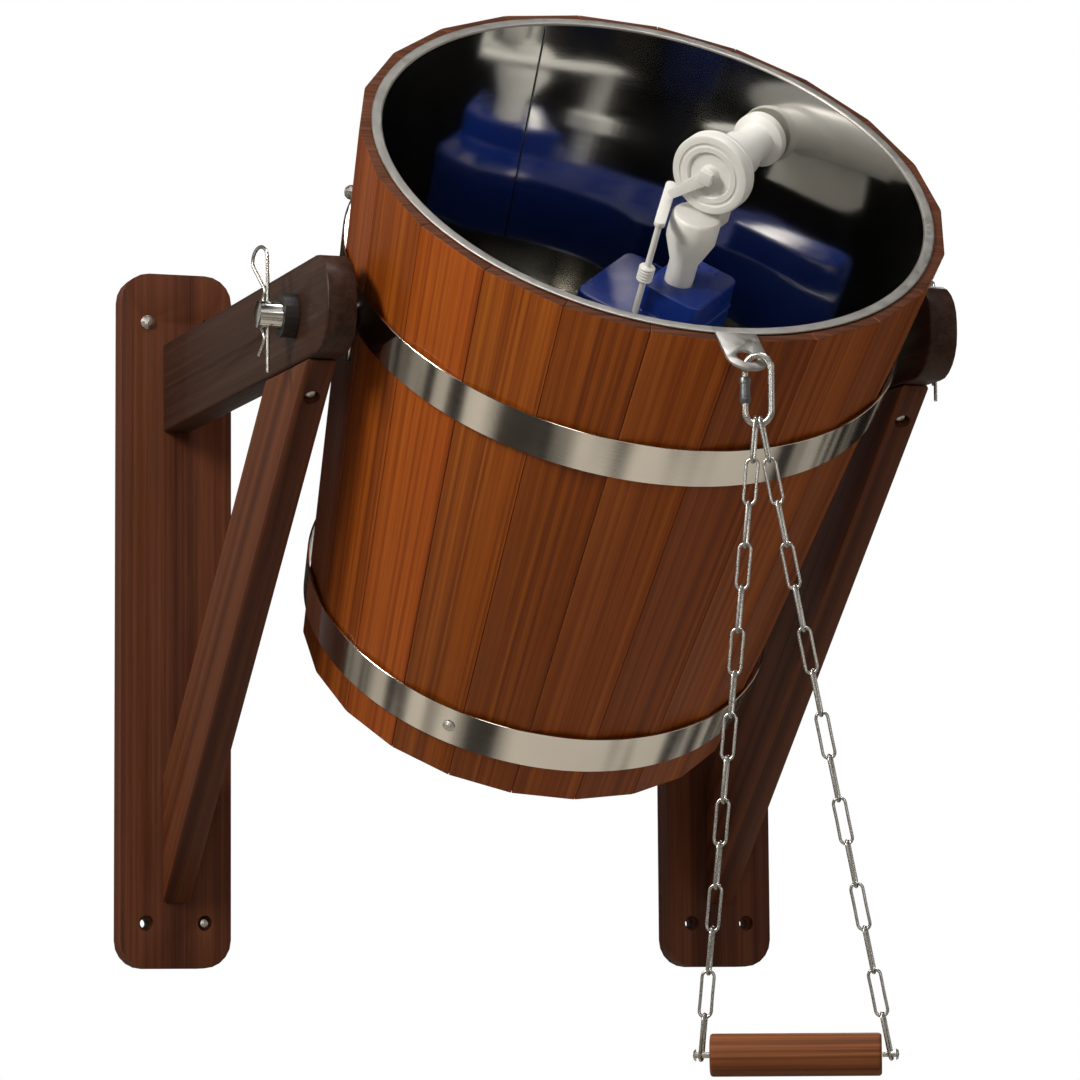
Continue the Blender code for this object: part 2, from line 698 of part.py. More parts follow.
def float_rod():
    thin = 2 * MM
    knob = 5 * MM
    foot = FLOAT_STEP_Z + GAP
    profile = [
        (0, 44.6 * MM),
        (thin, 44.6 * MM),
        (thin, 16 * MM),
        (knob, 14 * MM),
        (knob, 7 * MM),
        (thin, 5 * MM),
        (thin, foot),
        (0, foot),
    ]
    made = turned("float_rod", [(r, z - VALVE_Z) for r, z in profile], WHITE_PLASTIC, VALVE, steps=14)
    made.location = (FLOAT_ROD_OUT, FLOAT_ROD_SIDE, 0)


def float_box():
    """A stepped box with the guide's channel through it."""
    base = VALVE_Z
    low = (50 * MM, -27 * MM, FLOAT_BOTTOM_Z - base)
    high = (118 * MM, 50 * MM, FLOAT_STEP_Z - base)
    made = add_mesh("float", box_mesh("float", low, high, 2, 7 * MM, 3), BLUE_PLASTIC, VALVE)
    low = (63 * MM, -26.5 * MM, FLOAT_STEP_Z - base - 5 * MM)
    high = (117 * MM, 14 * MM, FLOAT_TOP_Z - base)
    block = cutter("float_block", box_mesh("float_block", low, high, 2, 6 * MM, 3), VALVE)
    combine(made, block, "UNION")
    channel = cylinder_mesh("float_channel", GUIDE_RADIUS + 0.6 * MM, -0.2, 0.1, "Z", 20)
    combine(made, cutter("float_channel", channel, VALVE, Matrix.Translation((GUIDE_OUT, 0, 0))))


valve_body()
valve_cap()
valve_lock_nut()
valve_guide()
valve_lever()
float_rod()
float_box()

# ---------------------------------------------------------------- link, chains and handle

LINK_SIDE = Vector((math.cos(LINK_YAW), math.sin(LINK_YAW), 0))
TAB_HOLE = BUCKET_MATRIX @ Vector((0, -TAB_HOLE_OUT, tab_z()))
TAB_OUT = (BUCKET_MATRIX.to_3x3() @ Vector((0, -1, 0))).normalized()
LINK_HALF_RUN = LINK_LENGTH / 2 - LINK_WIRE_RADIUS - LINK_ARC_RADIUS
LINK_CENTRE = (
    TAB_HOLE
    + TAB_OUT * LINK_OUT
    - LINK_SIDE * LINK_ARC_RADIUS * math.cos(LINK_DROP_ANGLE)
    - Vector((0, 0, LINK_HALF_RUN + LINK_ARC_RADIUS * math.sin(LINK_DROP_ANGLE)))
)


def on_link(side, up):
    """A point in the plane of the screw link."""
    return LINK_CENTRE + LINK_SIDE * side + Vector((0, 0, up))


def quick_link():
    """An open loop of wire whose gap the screw sleeve closes."""
    path = [(-LINK_ARC_RADIUS, LINK_GAP_HIGH)]
    path += arc((0, LINK_HALF_RUN), LINK_ARC_RADIUS, 180, 0, 10)
    path += arc((0, -LINK_HALF_RUN), LINK_ARC_RADIUS, 0, -180, 10)
    path += [(-LINK_ARC_RADIUS, LINK_GAP_LOW)]
    wire("quick_link", [on_link(s, u) for s, u in path], LINK_WIRE_RADIUS, ZINC, resolution=2)
    bore = LINK_WIRE_RADIUS + GAP
    half = SLEEVE_LENGTH / 2
    profile = [(SLEEVE_RADIUS, half), (SLEEVE_RADIUS, -half), (bore, -half), (bore, half)]
    sleeve = turned("quick_link_sleeve", profile, DARK_ZINC, steps=12, closed=True)
    sleeve.location = on_link(-LINK_ARC_RADIUS, 0)


def chain(side, name, handle_end):
    """Welded links from the quick link's foot to a screw on the handle's end, as one solid.

    Each link is turned a quarter from the last and bites a hair into it, so that the union is one body.
    """
    inner_arc = LINK_ARC_RADIUS - LINK_WIRE_RADIUS
    rise = inner_arc - math.sqrt(inner_arc**2 - CHAIN_TOP_SPREAD**2)
    foot = -LINK_HALF_RUN - inner_arc + rise + CHAIN_TOP_GAP / 2
    top = on_link(side * CHAIN_TOP_SPREAD, foot)
    down = (handle_end - top).normalized()
    end = handle_end + down * (HANDLE_SCREW_SHANK + GAP)
    pitch = (end - top).length / CHAIN_LINKS
    half_run = pitch / 2 + CHAIN_WIRE_RADIUS - CHAIN_HALF_WIDTH
    across = down.cross(LINK_SIDE).normalized()
    links = []
    for index in range(CHAIN_LINKS):
        lateral = across if index % 2 == 0 else down.cross(across)
        centre = top + down * pitch * (index + 0.5)
        path = arc((0, half_run), CHAIN_HALF_WIDTH, 0, 180, 4)
        path += arc((0, -half_run), CHAIN_HALF_WIDTH, 180, 360, 4)
        points = [centre + lateral * s - down * u for s, u in path]
        links.append(wire(f"{name}_link_{index}", points, CHAIN_WIRE_RADIUS + CHAIN_FUSE / 2, ZINC, True))
    joined = links[0]
    joined.name = name
    for tool in links[1:]:
        CUTTERS.objects.link(tool)
        PARTS.objects.unlink(tool)
        tool.hide_render = True
        tool.display_type = "WIRE"
        combine(joined, tool, "UNION")


def handle():
    along = Vector((math.cos(HANDLE_YAW), math.sin(HANDLE_YAW), 0))
    spin = Matrix.Translation(HANDLE_CENTRE) @ Matrix.Rotation(HANDLE_YAW, 4, "Z")
    half = HANDLE_LENGTH / 2
    mesh = cylinder_mesh("pull_handle", HANDLE_RADIUS, -half, half, "X", 32)
    grip = add_mesh("pull_handle", mesh, HANDLE_WOOD)
    grip.matrix_world = spin
    edge_bevel(grip, 1.5 * MM)
    reach = half + HANDLE_SCREW_REACH
    profile = [
        (0, reach + 1.8 * MM),
        (2.4 * MM, reach + 1.3 * MM),
        (3.4 * MM, reach),
        (HANDLE_SCREW_SHANK, reach),
        (HANDLE_SCREW_SHANK, half + GAP),
        (0, half + GAP),
    ]
    for side, side_name in ((-1, "left"), (1, "right")):
        screw = turned(side_name + "_handle_screw", profile, ZINC, steps=12)
        screw.matrix_world = spin @ Matrix.Rotation(math.radians(90) * side, 4, "Y")
        chain(side, side_name + "_chain", HANDLE_CENTRE + along * side * (half + CHAIN_HANG))


quick_link()
handle()
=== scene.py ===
"""The looks of the tipping shower bucket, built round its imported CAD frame."""

import json
import math
import random

import bmesh
import bpy
from mathutils import Matrix, Vector

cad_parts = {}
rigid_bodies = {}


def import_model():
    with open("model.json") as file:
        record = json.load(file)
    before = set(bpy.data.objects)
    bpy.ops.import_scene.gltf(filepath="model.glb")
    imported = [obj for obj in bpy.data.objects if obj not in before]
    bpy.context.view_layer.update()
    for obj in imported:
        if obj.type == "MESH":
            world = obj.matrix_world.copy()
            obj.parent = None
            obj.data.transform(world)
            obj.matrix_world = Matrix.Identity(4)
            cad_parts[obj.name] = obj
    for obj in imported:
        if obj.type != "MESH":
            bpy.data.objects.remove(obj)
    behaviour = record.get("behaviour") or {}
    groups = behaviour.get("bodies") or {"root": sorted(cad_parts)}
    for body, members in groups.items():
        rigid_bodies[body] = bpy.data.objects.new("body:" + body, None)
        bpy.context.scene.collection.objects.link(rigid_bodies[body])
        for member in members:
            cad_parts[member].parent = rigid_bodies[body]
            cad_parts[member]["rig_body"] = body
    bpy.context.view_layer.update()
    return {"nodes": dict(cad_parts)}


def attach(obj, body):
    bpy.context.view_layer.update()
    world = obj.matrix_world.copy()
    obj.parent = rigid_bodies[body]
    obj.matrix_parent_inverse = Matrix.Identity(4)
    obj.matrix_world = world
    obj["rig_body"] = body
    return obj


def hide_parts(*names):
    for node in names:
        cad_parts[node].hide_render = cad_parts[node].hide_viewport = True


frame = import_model()
NODES = frame["nodes"]

MM = 0.001
RANDOM = random.Random(7)

# The same driving sizes as the CAD, in metres
AXLE = Vector((0.0, -327 * MM, 375 * MM))
TILT = math.radians(43.3)
BUCKET = Matrix.Translation(AXLE) @ Matrix.Rotation(TILT, 4, "X")
BUCKET_INVERSE = BUCKET.inverted()
BUCKET_AXIS = BUCKET.to_3x3() @ Vector((0, 0, 1))
BRACE_GRAIN = Vector((0, -1, 0.907))
STAVES = 22
STAVE_TOP = 113.5 * MM
TOP_RADIUS = 176 * MM
TAPER = 37 / 363
STAVE_INNER_TOP = 163.6 * MM
GAP = 0.3 * MM
LINK_YAW = math.radians(-36)
HANDLE_YAW = math.radians(-24)
HANDLE_CENTRE = Vector((21.2 * MM, -551 * MM, -53.8 * MM))
HANDLE_HALF = 46.4 * MM
CLIP_X = 212 * MM
CLIP_YAW = math.radians(17)
AXLE_PIN_RADIUS = 8 * MM
VALVE_Z = 75 * MM
VALVE_YAW = math.radians(44.5)
VALVE = BUCKET @ Matrix.Translation((0, 0, VALVE_Z)) @ Matrix.Rotation(VALVE_YAW, 4, "Z")
FLOAT_ROD_OUT = 58 * MM
FLOAT_ROD_SIDE = 11 * MM
UPPER_HOOP_Z = 21.5 * MM
LOWER_HOOP_Z = -210 * MM
BUCKET_LOW = -241.5 * MM
BOTTOM_THICKNESS = 12 * MM
TAB_HOLE_OUT = 191.5 * MM
CHAIN_TOP_SPREAD = 1.2 * MM
CHAIN_LINKS = 15

# Camera and studio
CAMERA_PLACE = (-0.8936, -2.7678, -0.0326)
CAMERA_AIM = (0.3345, 0.1081, -0.0074)
CAMERA_LENS = 146.55
SENSOR_WIDTH = 36
ROOM_LIGHT = 0.75
FLOOR_Z = -1.0

# ---------------------------------------------------------------- camera, light and stage


def look(azimuth, elevation, roll):
    """A camera rotation looking along +Y turned right by azimuth and up by elevation."""
    forward = Vector(
        (
            math.sin(azimuth) * math.cos(elevation),
            math.cos(azimuth) * math.cos(elevation),
            math.sin(elevation),
        )
    )
    right = Vector((math.cos(azimuth), -math.sin(azimuth), 0))
    up = right.cross(forward)
    side = right * math.cos(roll) + up * math.sin(roll)
    top = up * math.cos(roll) - right * math.sin(roll)
    return Matrix((side, top, -forward)).transposed().to_4x4()


def camera():
    data = bpy.data.cameras.new("camera")
    data.lens = CAMERA_LENS
    data.sensor_width = SENSOR_WIDTH
    data.clip_end = 50
    made = bpy.data.objects.new("camera", data)
    made.matrix_world = Matrix.Translation(CAMERA_PLACE) @ look(*CAMERA_AIM)
    bpy.context.scene.collection.objects.link(made)
    bpy.context.scene.camera = made


def area_light(name, position, target, size, power, colour=(1, 1, 1)):
    data = bpy.data.lights.new(name, "AREA")
    data.shape = "RECTANGLE"
    data.size, data.size_y = size
    data.energy = power
    data.color = colour
    made = bpy.data.objects.new(name, data)
    made.location = position
    made.rotation_euler = (Vector(target) - Vector(position)).to_track_quat("-Z", "Y").to_euler()
    bpy.context.scene.collection.objects.link(made)


def world():
    """White to the camera, and a dark room with pale windows to everything else.

    The room gives polished metal its contrast.
    """
    made = bpy.data.worlds.new("studio")
    bpy.context.scene.world = made
    made.use_nodes = True
    tree = made.node_tree
    tree.nodes.clear()
    output = tree.nodes.new("ShaderNodeOutputWorld")
    mix = tree.nodes.new("ShaderNodeMixShader")
    paper = tree.nodes.new("ShaderNodeBackground")
    room = tree.nodes.new("ShaderNodeBackground")
    path = tree.nodes.new("ShaderNodeLightPath")
    coords = tree.nodes.new("ShaderNodeTexCoord")
    stretch = tree.nodes.new("ShaderNodeMapping")
    stretch.inputs["Scale"].default_value = (1, 1, 0.45)
    noise = tree.nodes.new("ShaderNodeTexNoise")
    noise.inputs["Scale"].default_value = 3.4
    noise.inputs["Detail"].default_value = 2.5
    ramp = tree.nodes.new("ShaderNodeValToRGB")
    paper.inputs["Color"].default_value = (1, 1, 1, 1)
    room.inputs["Strength"].default_value = ROOM_LIGHT
    stops = ramp.color_ramp.elements
    stops[0].position = 0.47
    stops[0].color = (0.016, 0.013, 0.011, 1)
    stops[1].position = 0.62
    stops[1].color = (1.0, 0.96, 0.88, 1)
    middle = stops.new(0.54)
    middle.color = (0.11, 0.09, 0.07, 1)
    tree.links.new(coords.outputs["Generated"], stretch.inputs[0])
    tree.links.new(stretch.outputs[0], noise.inputs["Vector"])
    tree.links.new(noise.outputs["Fac"], ramp.inputs[0])
    tree.links.new(ramp.outputs["Color"], room.inputs["Color"])
    tree.links.new(path.outputs["Is Camera Ray"], mix.inputs[0])
    tree.links.new(room.outputs[0], mix.inputs[1])
    tree.links.new(paper.outputs[0], mix.inputs[2])
    tree.links.new(mix.outputs[0], output.inputs[0])


def stage():
    """A floor that is pale to the camera and patchy and dark in reflections."""
    bpy.ops.mesh.primitive_plane_add(size=12, location=(0, 0, FLOOR_Z))
    floor = bpy.context.object
    floor.name = "studio_floor"
    made = bpy.data.materials.new("studio_floor")
    made.use_nodes = True
    nodes = made.node_tree.nodes
    shader = nodes["Principled BSDF"]
    path = nodes.new("ShaderNodeLightPath")
    coords = nodes.new("ShaderNodeTexCoord")
    noise = nodes.new("ShaderNodeTexNoise")
    noise.inputs["Scale"].default_value = 1.5
    noise.inputs["Detail"].default_value = 2
    ramp = nodes.new("ShaderNodeValToRGB")
    stops = ramp.color_ramp.elements
    stops[0].position = 0.43
    stops[0].color = (0.02, 0.016, 0.013, 1)
    stops[1].position = 0.55
    stops[1].color = (0.85, 0.81, 0.74, 1)
    lit = nodes.new("ShaderNodeEmission")
    lit.inputs["Color"].default_value = (0.8, 0.8, 0.79, 1)
    mix = nodes.new("ShaderNodeMixShader")
    links = made.node_tree.links
    links.new(coords.outputs["Object"], noise.inputs["Vector"])
    links.new(noise.outputs["Fac"], ramp.inputs[0])
    links.new(ramp.outputs["Color"], shader.inputs["Base Color"])
    links.new(path.outputs["Is Camera Ray"], mix.inputs[0])
    links.new(shader.outputs[0], mix.inputs[1])
    links.new(lit.outputs[0], mix.inputs[2])
    links.new(mix.outputs[0], nodes["Material Output"].inputs[0])
    shader.inputs["Roughness"].default_value = 0.8
    floor.data.materials.append(made)


camera()
world()
stage()
area_light("key", (-2.7, -1.5, 1.8), (0, -0.3, 0.3), (0.7, 1.2), 88, (1, 0.95, 0.87))
area_light("front", (-0.9, -3.0, 0.7), (0, -0.3, 0.25), (0.5, 0.9), 6.5, (1, 0.93, 0.84))
area_light("top", (0.1, -1.0, 2.4), (0, -0.3, 0.3), (0.9, 0.6), 16)
area_light("back", (1.5, 2.2, 1.2), (0, -0.2, 0.2), (1.0, 1.4), 30)
bpy.context.scene.view_settings.view_transform = "Standard"

# ---------------------------------------------------------------- materials


class Graph:
    """A new material's node tree, with short ways to add and join its nodes."""

    def __init__(self, name):
        self.material = bpy.data.materials.new(name)
        self.material.use_nodes = True
        self.tree = self.material.node_tree
        self.shader = self.tree.nodes["Principled BSDF"]
        self.coords = self.tree.nodes.new("ShaderNodeTexCoord").outputs["Object"]

    def join(self, source, target):
        self.tree.links.new(source, target)

    def mapping(self, source, scale=(1, 1, 1), turn=(0, 0, 0), shift=(0, 0, 0)):
        node = self.tree.nodes.new("ShaderNodeMapping")
        node.inputs["Location"].default_value = shift
        node.inputs["Rotation"].default_value = turn
        node.inputs["Scale"].default_value = scale
        self.join(source, node.inputs["Vector"])
        return node.outputs[0]

    def unrolled(self, seed):
        """The bucket's side laid flat: round the axis, a shift of its own, and along the axis."""
        local = self.mapping(self.coords, turn=BUCKET_TURN, shift=BUCKET_INVERSE.translation)
        split = self.tree.nodes.new("ShaderNodeSeparateXYZ")
        join = self.tree.nodes.new("ShaderNodeCombineXYZ")
        self.join(local, split.inputs[0])
        angle = self.math("ARCTAN2", split.outputs["X"], self.math("MULTIPLY", split.outputs["Y"], -1))
        self.join(self.math("MULTIPLY", angle, TOP_RADIUS), join.inputs["X"])
        join.inputs["Y"].default_value = seed * 0.53
        self.join(split.outputs["Z"], join.inputs["Z"])
        return join.outputs[0]

    def noise(self, source, scale, detail=4.0, roughness=0.55, distortion=0.0):
        node = self.tree.nodes.new("ShaderNodeTexNoise")
        node.inputs["Scale"].default_value = scale
        node.inputs["Detail"].default_value = detail
        node.inputs["Roughness"].default_value = roughness
        node.inputs["Distortion"].default_value = distortion
        self.join(source, node.inputs["Vector"])
        return node.outputs["Fac"]

    def math(self, operation, first, second=None, third=None):
        node = self.tree.nodes.new("ShaderNodeMath")
        node.operation = operation
        for slot, value in enumerate((first, second, third)):
            if value is None:
                continue
            if isinstance(value, (int, float)):
                node.inputs[slot].default_value = value
            else:
                self.join(value, node.inputs[slot])
        return node.outputs[0]

    def ramp(self, source, stops):
        node = self.tree.nodes.new("ShaderNodeValToRGB")
        elements = node.color_ramp.elements
        while len(elements) < len(stops):
            elements.new(0.5)
        for element, (position, colour) in zip(elements, stops):
            element.position = position
            element.color = (*colour, 1)
        self.join(source, node.inputs[0])
        return node.outputs["Color"]

    def spread(self, source, low, high, from_low=0.3, from_high=0.7):
        node = self.tree.nodes.new("ShaderNodeMapRange")
        node.inputs["From Min"].default_value = from_low
        node.inputs["From Max"].default_value = from_high
        node.inputs["To Min"].default_value = low
        node.inputs["To Max"].default_value = high
        self.join(source, node.inputs["Value"])
        return node.outputs[0]

    def bump(self, height, strength, distance):
        node = self.tree.nodes.new("ShaderNodeBump")
        node.inputs["Strength"].default_value = strength
        node.inputs["Distance"].default_value = distance
        self.join(height, node.inputs["Height"])
        self.join(node.outputs[0], self.shader.inputs["Normal"])


def wood(name, grain, tones, seed, roughness, coat=0.05, lines=210, depth=0.18):
    """Straight grain from dark, middle and pale tones: growth lines, pores, patches and relief.

    Grain of None lays it up the sides of the bucket.
    """
    graph = Graph(name)
    dark, middle, pale = tones
    if grain is None:
        along = graph.unrolled(seed)
    else:
        turn = Vector(grain).normalized().rotation_difference(Vector((0, 0, 1))).to_euler()
        shift = (seed * 0.37, seed * 0.53, seed * 0.71)
        along = graph.mapping(graph.coords, turn=turn, shift=shift)
    pores = graph.noise(graph.mapping(along, (1, 1, 0.015)), 1100, 3, 0.6)
    growth = graph.noise(graph.mapping(along, (1, 1, 0.0045)), lines, 5, 0.68, 0.2)
    figure = graph.noise(graph.mapping(along, (1, 1, 0.02)), 50, 2, 0.5, 0.3)
    patches = graph.noise(graph.mapping(along, (1, 1, 0.12)), 9, 2)
    blended = graph.math("MULTIPLY_ADD", growth, 0.78, graph.math("MULTIPLY", pores, 0.22))
    blended = graph.math("MULTIPLY_ADD", figure, 0.2, blended)
    blended = graph.math("MULTIPLY_ADD", patches, 0.24, blended)
    colour = graph.ramp(blended, [(0.6, dark), (0.72, middle), (0.86, pale)])
    graph.join(colour, graph.shader.inputs["Base Color"])
    polish = graph.spread(pores, roughness - 0.05, roughness + 0.12)
    graph.join(polish, graph.shader.inputs["Roughness"])
    graph.shader.inputs["Specular IOR Level"].default_value = 0.2
    graph.shader.inputs["Coat Weight"].default_value = coat
    graph.shader.inputs["Coat Roughness"].default_value = 0.3
    graph.bump(blended, depth, 0.0005)
    return graph.material


def metal(name, colour, roughness, streak=(1, 1, 1), turn=(0, 0, 0), scale=300, relief=0.04):
    """Metal with fine streaks along one direction and a slow change in its polish."""
    graph = Graph(name)
    local = graph.mapping(graph.coords, turn=turn)
    fine = graph.noise(graph.mapping(local, streak), scale, 4, 0.6)
    slow = graph.noise(local, 18, 3)
    tone = graph.ramp(slow, [(0.3, tuple(c * 0.9 for c in colour)), (0.7, colour)])
    graph.join(tone, graph.shader.inputs["Base Color"])
    graph.shader.inputs["Metallic"].default_value = 1
    streaks = graph.spread(fine, roughness * 0.75, roughness * 1.25)
    polish = graph.math("MULTIPLY_ADD", slow, 0.08, streaks)
    graph.join(polish, graph.shader.inputs["Roughness"])
    graph.bump(fine, relief, 0.0003)
    return graph.material


def plastic(name, colour, roughness, speckle=0.06, relief=0.05):
    """Moulded plastic with a faint mottled gloss."""
    graph = Graph(name)
    grain = graph.noise(graph.coords, 900, 3)
    slow = graph.noise(graph.coords, 30, 3)
    tone = graph.ramp(slow, [(0.3, tuple(c * (1 - speckle) for c in colour)), (0.7, colour)])
    graph.join(tone, graph.shader.inputs["Base Color"])
    polish = graph.spread(slow, roughness - 0.05, roughness + 0.08)
    graph.join(polish, graph.shader.inputs["Roughness"])
    graph.bump(grain, relief, 0.0002)
    return graph.material


BUCKET_TURN = (-TILT, 0, 0)
STAVE_WOODS = []
STAVE_TINTS = 8
for variant in range(STAVE_TINTS):
    tint = RANDOM.uniform(0.78, 1.15)
    warm = RANDOM.uniform(0.9, 1.08)
    tones = [(0.180, 0.036, 0.0028), (0.300, 0.068, 0.0050), (0.420, 0.115, 0.0110)]
    tones = [(r * tint, g * tint * warm, b * tint) for r, g, b in tones]
    STAVE_WOODS.append(wood(f"stave_wood_{variant}", None, tones, variant + 1, 0.42, 0.03))
END_TONES = [(0.055, 0.016, 0.006), (0.10, 0.030, 0.012), (0.16, 0.055, 0.024)]
STAVE_END = wood("stave_end_wood", (1, 0, 0), END_TONES, 21, 0.6, 0.0, 500)
BOTTOM_TONES = [(0.12, 0.03, 0.006), (0.22, 0.06, 0.01), (0.30, 0.09, 0.02)]
BOTTOM_WOOD = wood("floor_wood", (1, 0, 0), BOTTOM_TONES, 4, 0.5)
BOARD_TONES = [(0.050, 0.0125, 0.0045), (0.090, 0.0250, 0.0095), (0.135, 0.0410, 0.0160)]
BOARD_WOOD = wood("board_wood", (0, 0, 1), BOARD_TONES, 5, 0.5, 0.03, 150)
BRACE_TONES = [(0.060, 0.0155, 0.0055), (0.105, 0.0300, 0.0110), (0.150, 0.0470, 0.0185)]
BRACE_WOOD = wood("brace_wood", BRACE_GRAIN, BRACE_TONES, 6, 0.5, 0.03, 150)
ARM_TONES = [(0.026, 0.0105, 0.0060), (0.044, 0.0190, 0.0115), (0.066, 0.0300, 0.0190)]
ARM_WOOD = wood("arm_wood", (0, 1, 0), ARM_TONES, 7, 0.45, 0.06, 170)
HANDLE_GRAIN = (math.cos(HANDLE_YAW), math.sin(HANDLE_YAW), 0)
HANDLE_TONES = [(0.11, 0.032, 0.010), (0.20, 0.064, 0.021), (0.30, 0.11, 0.042)]
HANDLE_WOOD = wood("handle_wood", HANDLE_GRAIN, HANDLE_TONES, 8, 0.55, 0.0, 260)
STEEL = metal("polished_steel", (0.66, 0.65, 0.63), 0.12, (1, 1, 30), BUCKET_TURN, 60)
HOOP_STEEL = metal("hoop_steel", (0.72, 0.68, 0.62), 0.07, (1, 1, 40), BUCKET_TURN, 60, 0.05)
SATIN_STEEL = metal("satin_steel", (0.50, 0.48, 0.45), 0.42, turn=BUCKET_TURN, scale=200, relief=0.05)
LINER_STEEL = metal("liner_steel", (0.66, 0.65, 0.62), 0.045, (1, 1, 25), BUCKET_TURN, 40, 0.015)
ZINC = metal("zinc_plate", (0.60, 0.60, 0.58), 0.24, scale=500)
SCREW_ZINC = metal("screw_zinc", (0.66, 0.65, 0.61), 0.3, scale=700)
DARK_ZINC = metal("dark_zinc", (0.20, 0.21, 0.22), 0.36, scale=600, relief=0.1)
BUSH = plastic("bush_plastic", (0.018, 0.016, 0.015), 0.45)
WHITE = plastic("white_plastic", (0.84, 0.84, 0.82), 0.4)
BLUE = plastic("blue_plastic", (0.002, 0.022, 0.20), 0.3)

# ---------------------------------------------------------------- building pieces


def place(mesh, name, body, replaced, materials):
    """Links a finished mesh as a piece that rides a body and stands for CAD nodes."""
    made = bpy.data.objects.new(name, mesh)
    for item in materials:
        mesh.materials.append(item)
    bpy.context.scene.collection.objects.link(made)
    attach(made, body)
    if replaced:
        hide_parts(*replaced)
    return made


def smooth(mesh, angle=35):
    mesh.shade_smooth()
    mesh.set_sharp_from_angle(angle=math.radians(angle))


def refined(node, suffix, materials, width=0.8 * MM, segments=2, limit=30):
    """A welded copy of a CAD node's mesh with its edges eased.

    A second material goes on the faces that look up the bucket.
    """
    shape = bmesh.new()
    shape.from_mesh(NODES[node].data)
    bmesh.ops.remove_doubles(shape, verts=shape.verts, dist=2e-6)
    flat = math.radians(0.5)
    bmesh.ops.dissolve_limit(shape, angle_limit=flat, verts=shape.verts, edges=shape.edges)
    shape.normal_update()
    for face in shape.faces:
        if len(materials) > 1 and face.normal.dot(BUCKET_AXIS) > 0.9:
            face.material_index = 1
    mesh = bpy.data.meshes.new(node + suffix)
    shape.to_mesh(mesh)
    shape.free()
    made = place(mesh, node + suffix, NODES[node]["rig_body"], [node], materials)
    bevel = made.modifiers.new("eased", "BEVEL")
    bevel.width = width
    bevel.segments = segments
    bevel.limit_method = "ANGLE"
    bevel.angle_limit = math.radians(limit)
    bevel.harden_normals = True
    smooth(mesh, 180)
    return made


def lathe(profile, matrix, steps=96, closed=False):
    """A turned shape as a bmesh: the (radius, z) profile swept round its own Z, then placed."""
    shape = bmesh.new()
    rows = []
    for radius, z in profile:
        if radius < 1e-7:
            rows.append([shape.verts.new((0, 0, z))])
            continue
        ring = []
        for step in range(steps):
            angle = 2 * math.pi * step / steps
            ring.append(shape.verts.new((radius * math.cos(angle), radius * math.sin(angle), z)))
        rows.append(ring)
    pairs = list(zip(rows, rows[1:]))
    if closed:
        pairs.append((rows[-1], rows[0]))
    for upper, lower in pairs:
        for step in range(steps):
            after = (step + 1) % steps
            corners = [upper[step % len(upper)], upper[after % len(upper)]]
            corners += [lower[after % len(lower)], lower[step % len(lower)]]
            unique = list(dict.fromkeys(corners))
            if len(unique) > 2:
                shape.faces.new(unique)
    bmesh.ops.transform(shape, verts=shape.verts, matrix=matrix)
    bmesh.ops.recalc_face_normals(shape, faces=shape.faces)
    return shape


def mesh_of(shape, name, angle=35):
    mesh = bpy.data.meshes.new(name)
    shape.to_mesh(mesh)
    shape.free()
    smooth(mesh, angle)
    return mesh


def sweep(shape, path, normal, radius, sides=12, cyclic=False):
    """Adds a round wire along a flat path of points to a bmesh, with domed ends if it is open."""
    count = len(path)
    rings = []
    for index, point in enumerate(path):
        before = path[index - 1] if cyclic or index else point
        after = path[(index + 1) % count] if cyclic or index < count - 1 else point
        along = (after - before).normalized()
        across = normal.cross(along).normalized()
        ring = []
        for side in range(sides):
            angle = 2 * math.pi * side / sides
            offset = across * math.cos(angle) + normal * math.sin(angle)
            ring.append(shape.verts.new(point + offset * radius))
        rings.append(ring)
    pairs = list(zip(rings, rings[1:]))
    if cyclic:
        pairs.append((rings[-1], rings[0]))
    for first, second in pairs:
        for side in range(sides):
            after = (side + 1) % sides
            shape.faces.new((first[side], first[after], second[after], second[side]))
    if not cyclic:
        for ring, inward in ((rings[0], path[1] - path[0]), (rings[-1], path[-2] - path[-1])):
            middle = sum((v.co for v in ring), Vector()) / sides
            tip = shape.verts.new(middle - inward.normalized() * radius * 0.55)
            for side in range(sides):
                shape.faces.new((ring[side], ring[(side + 1) % sides], tip))


def arc(centre, radius, start, end, count):
    angles = [math.radians(start + (end - start) * i / count) for i in range(count + 1)]
    return [(centre[0] + radius * math.cos(a), centre[1] + radius * math.sin(a)) for a in angles]


# ---------------------------------------------------------------- brackets

for side in ("left", "right"):
    refined(side + "_wall_board", "_plank", [BOARD_WOOD], 1.6 * MM, 3)
    refined(side + "_arm", "_plank", [ARM_WOOD], 0.5 * MM, 2, limit=25)
    refined(side + "_brace", "_plank", [BRACE_WOOD], 0.5 * MM, 2, limit=25)

# ---------------------------------------------------------------- bucket

for index in range(STAVES):
    tone = STAVE_WOODS[(index * 5) % STAVE_TINTS]
    refined(f"stave_{index + 1:02d}", "_plank", [tone, STAVE_END], 0.45 * MM, 2, 60)


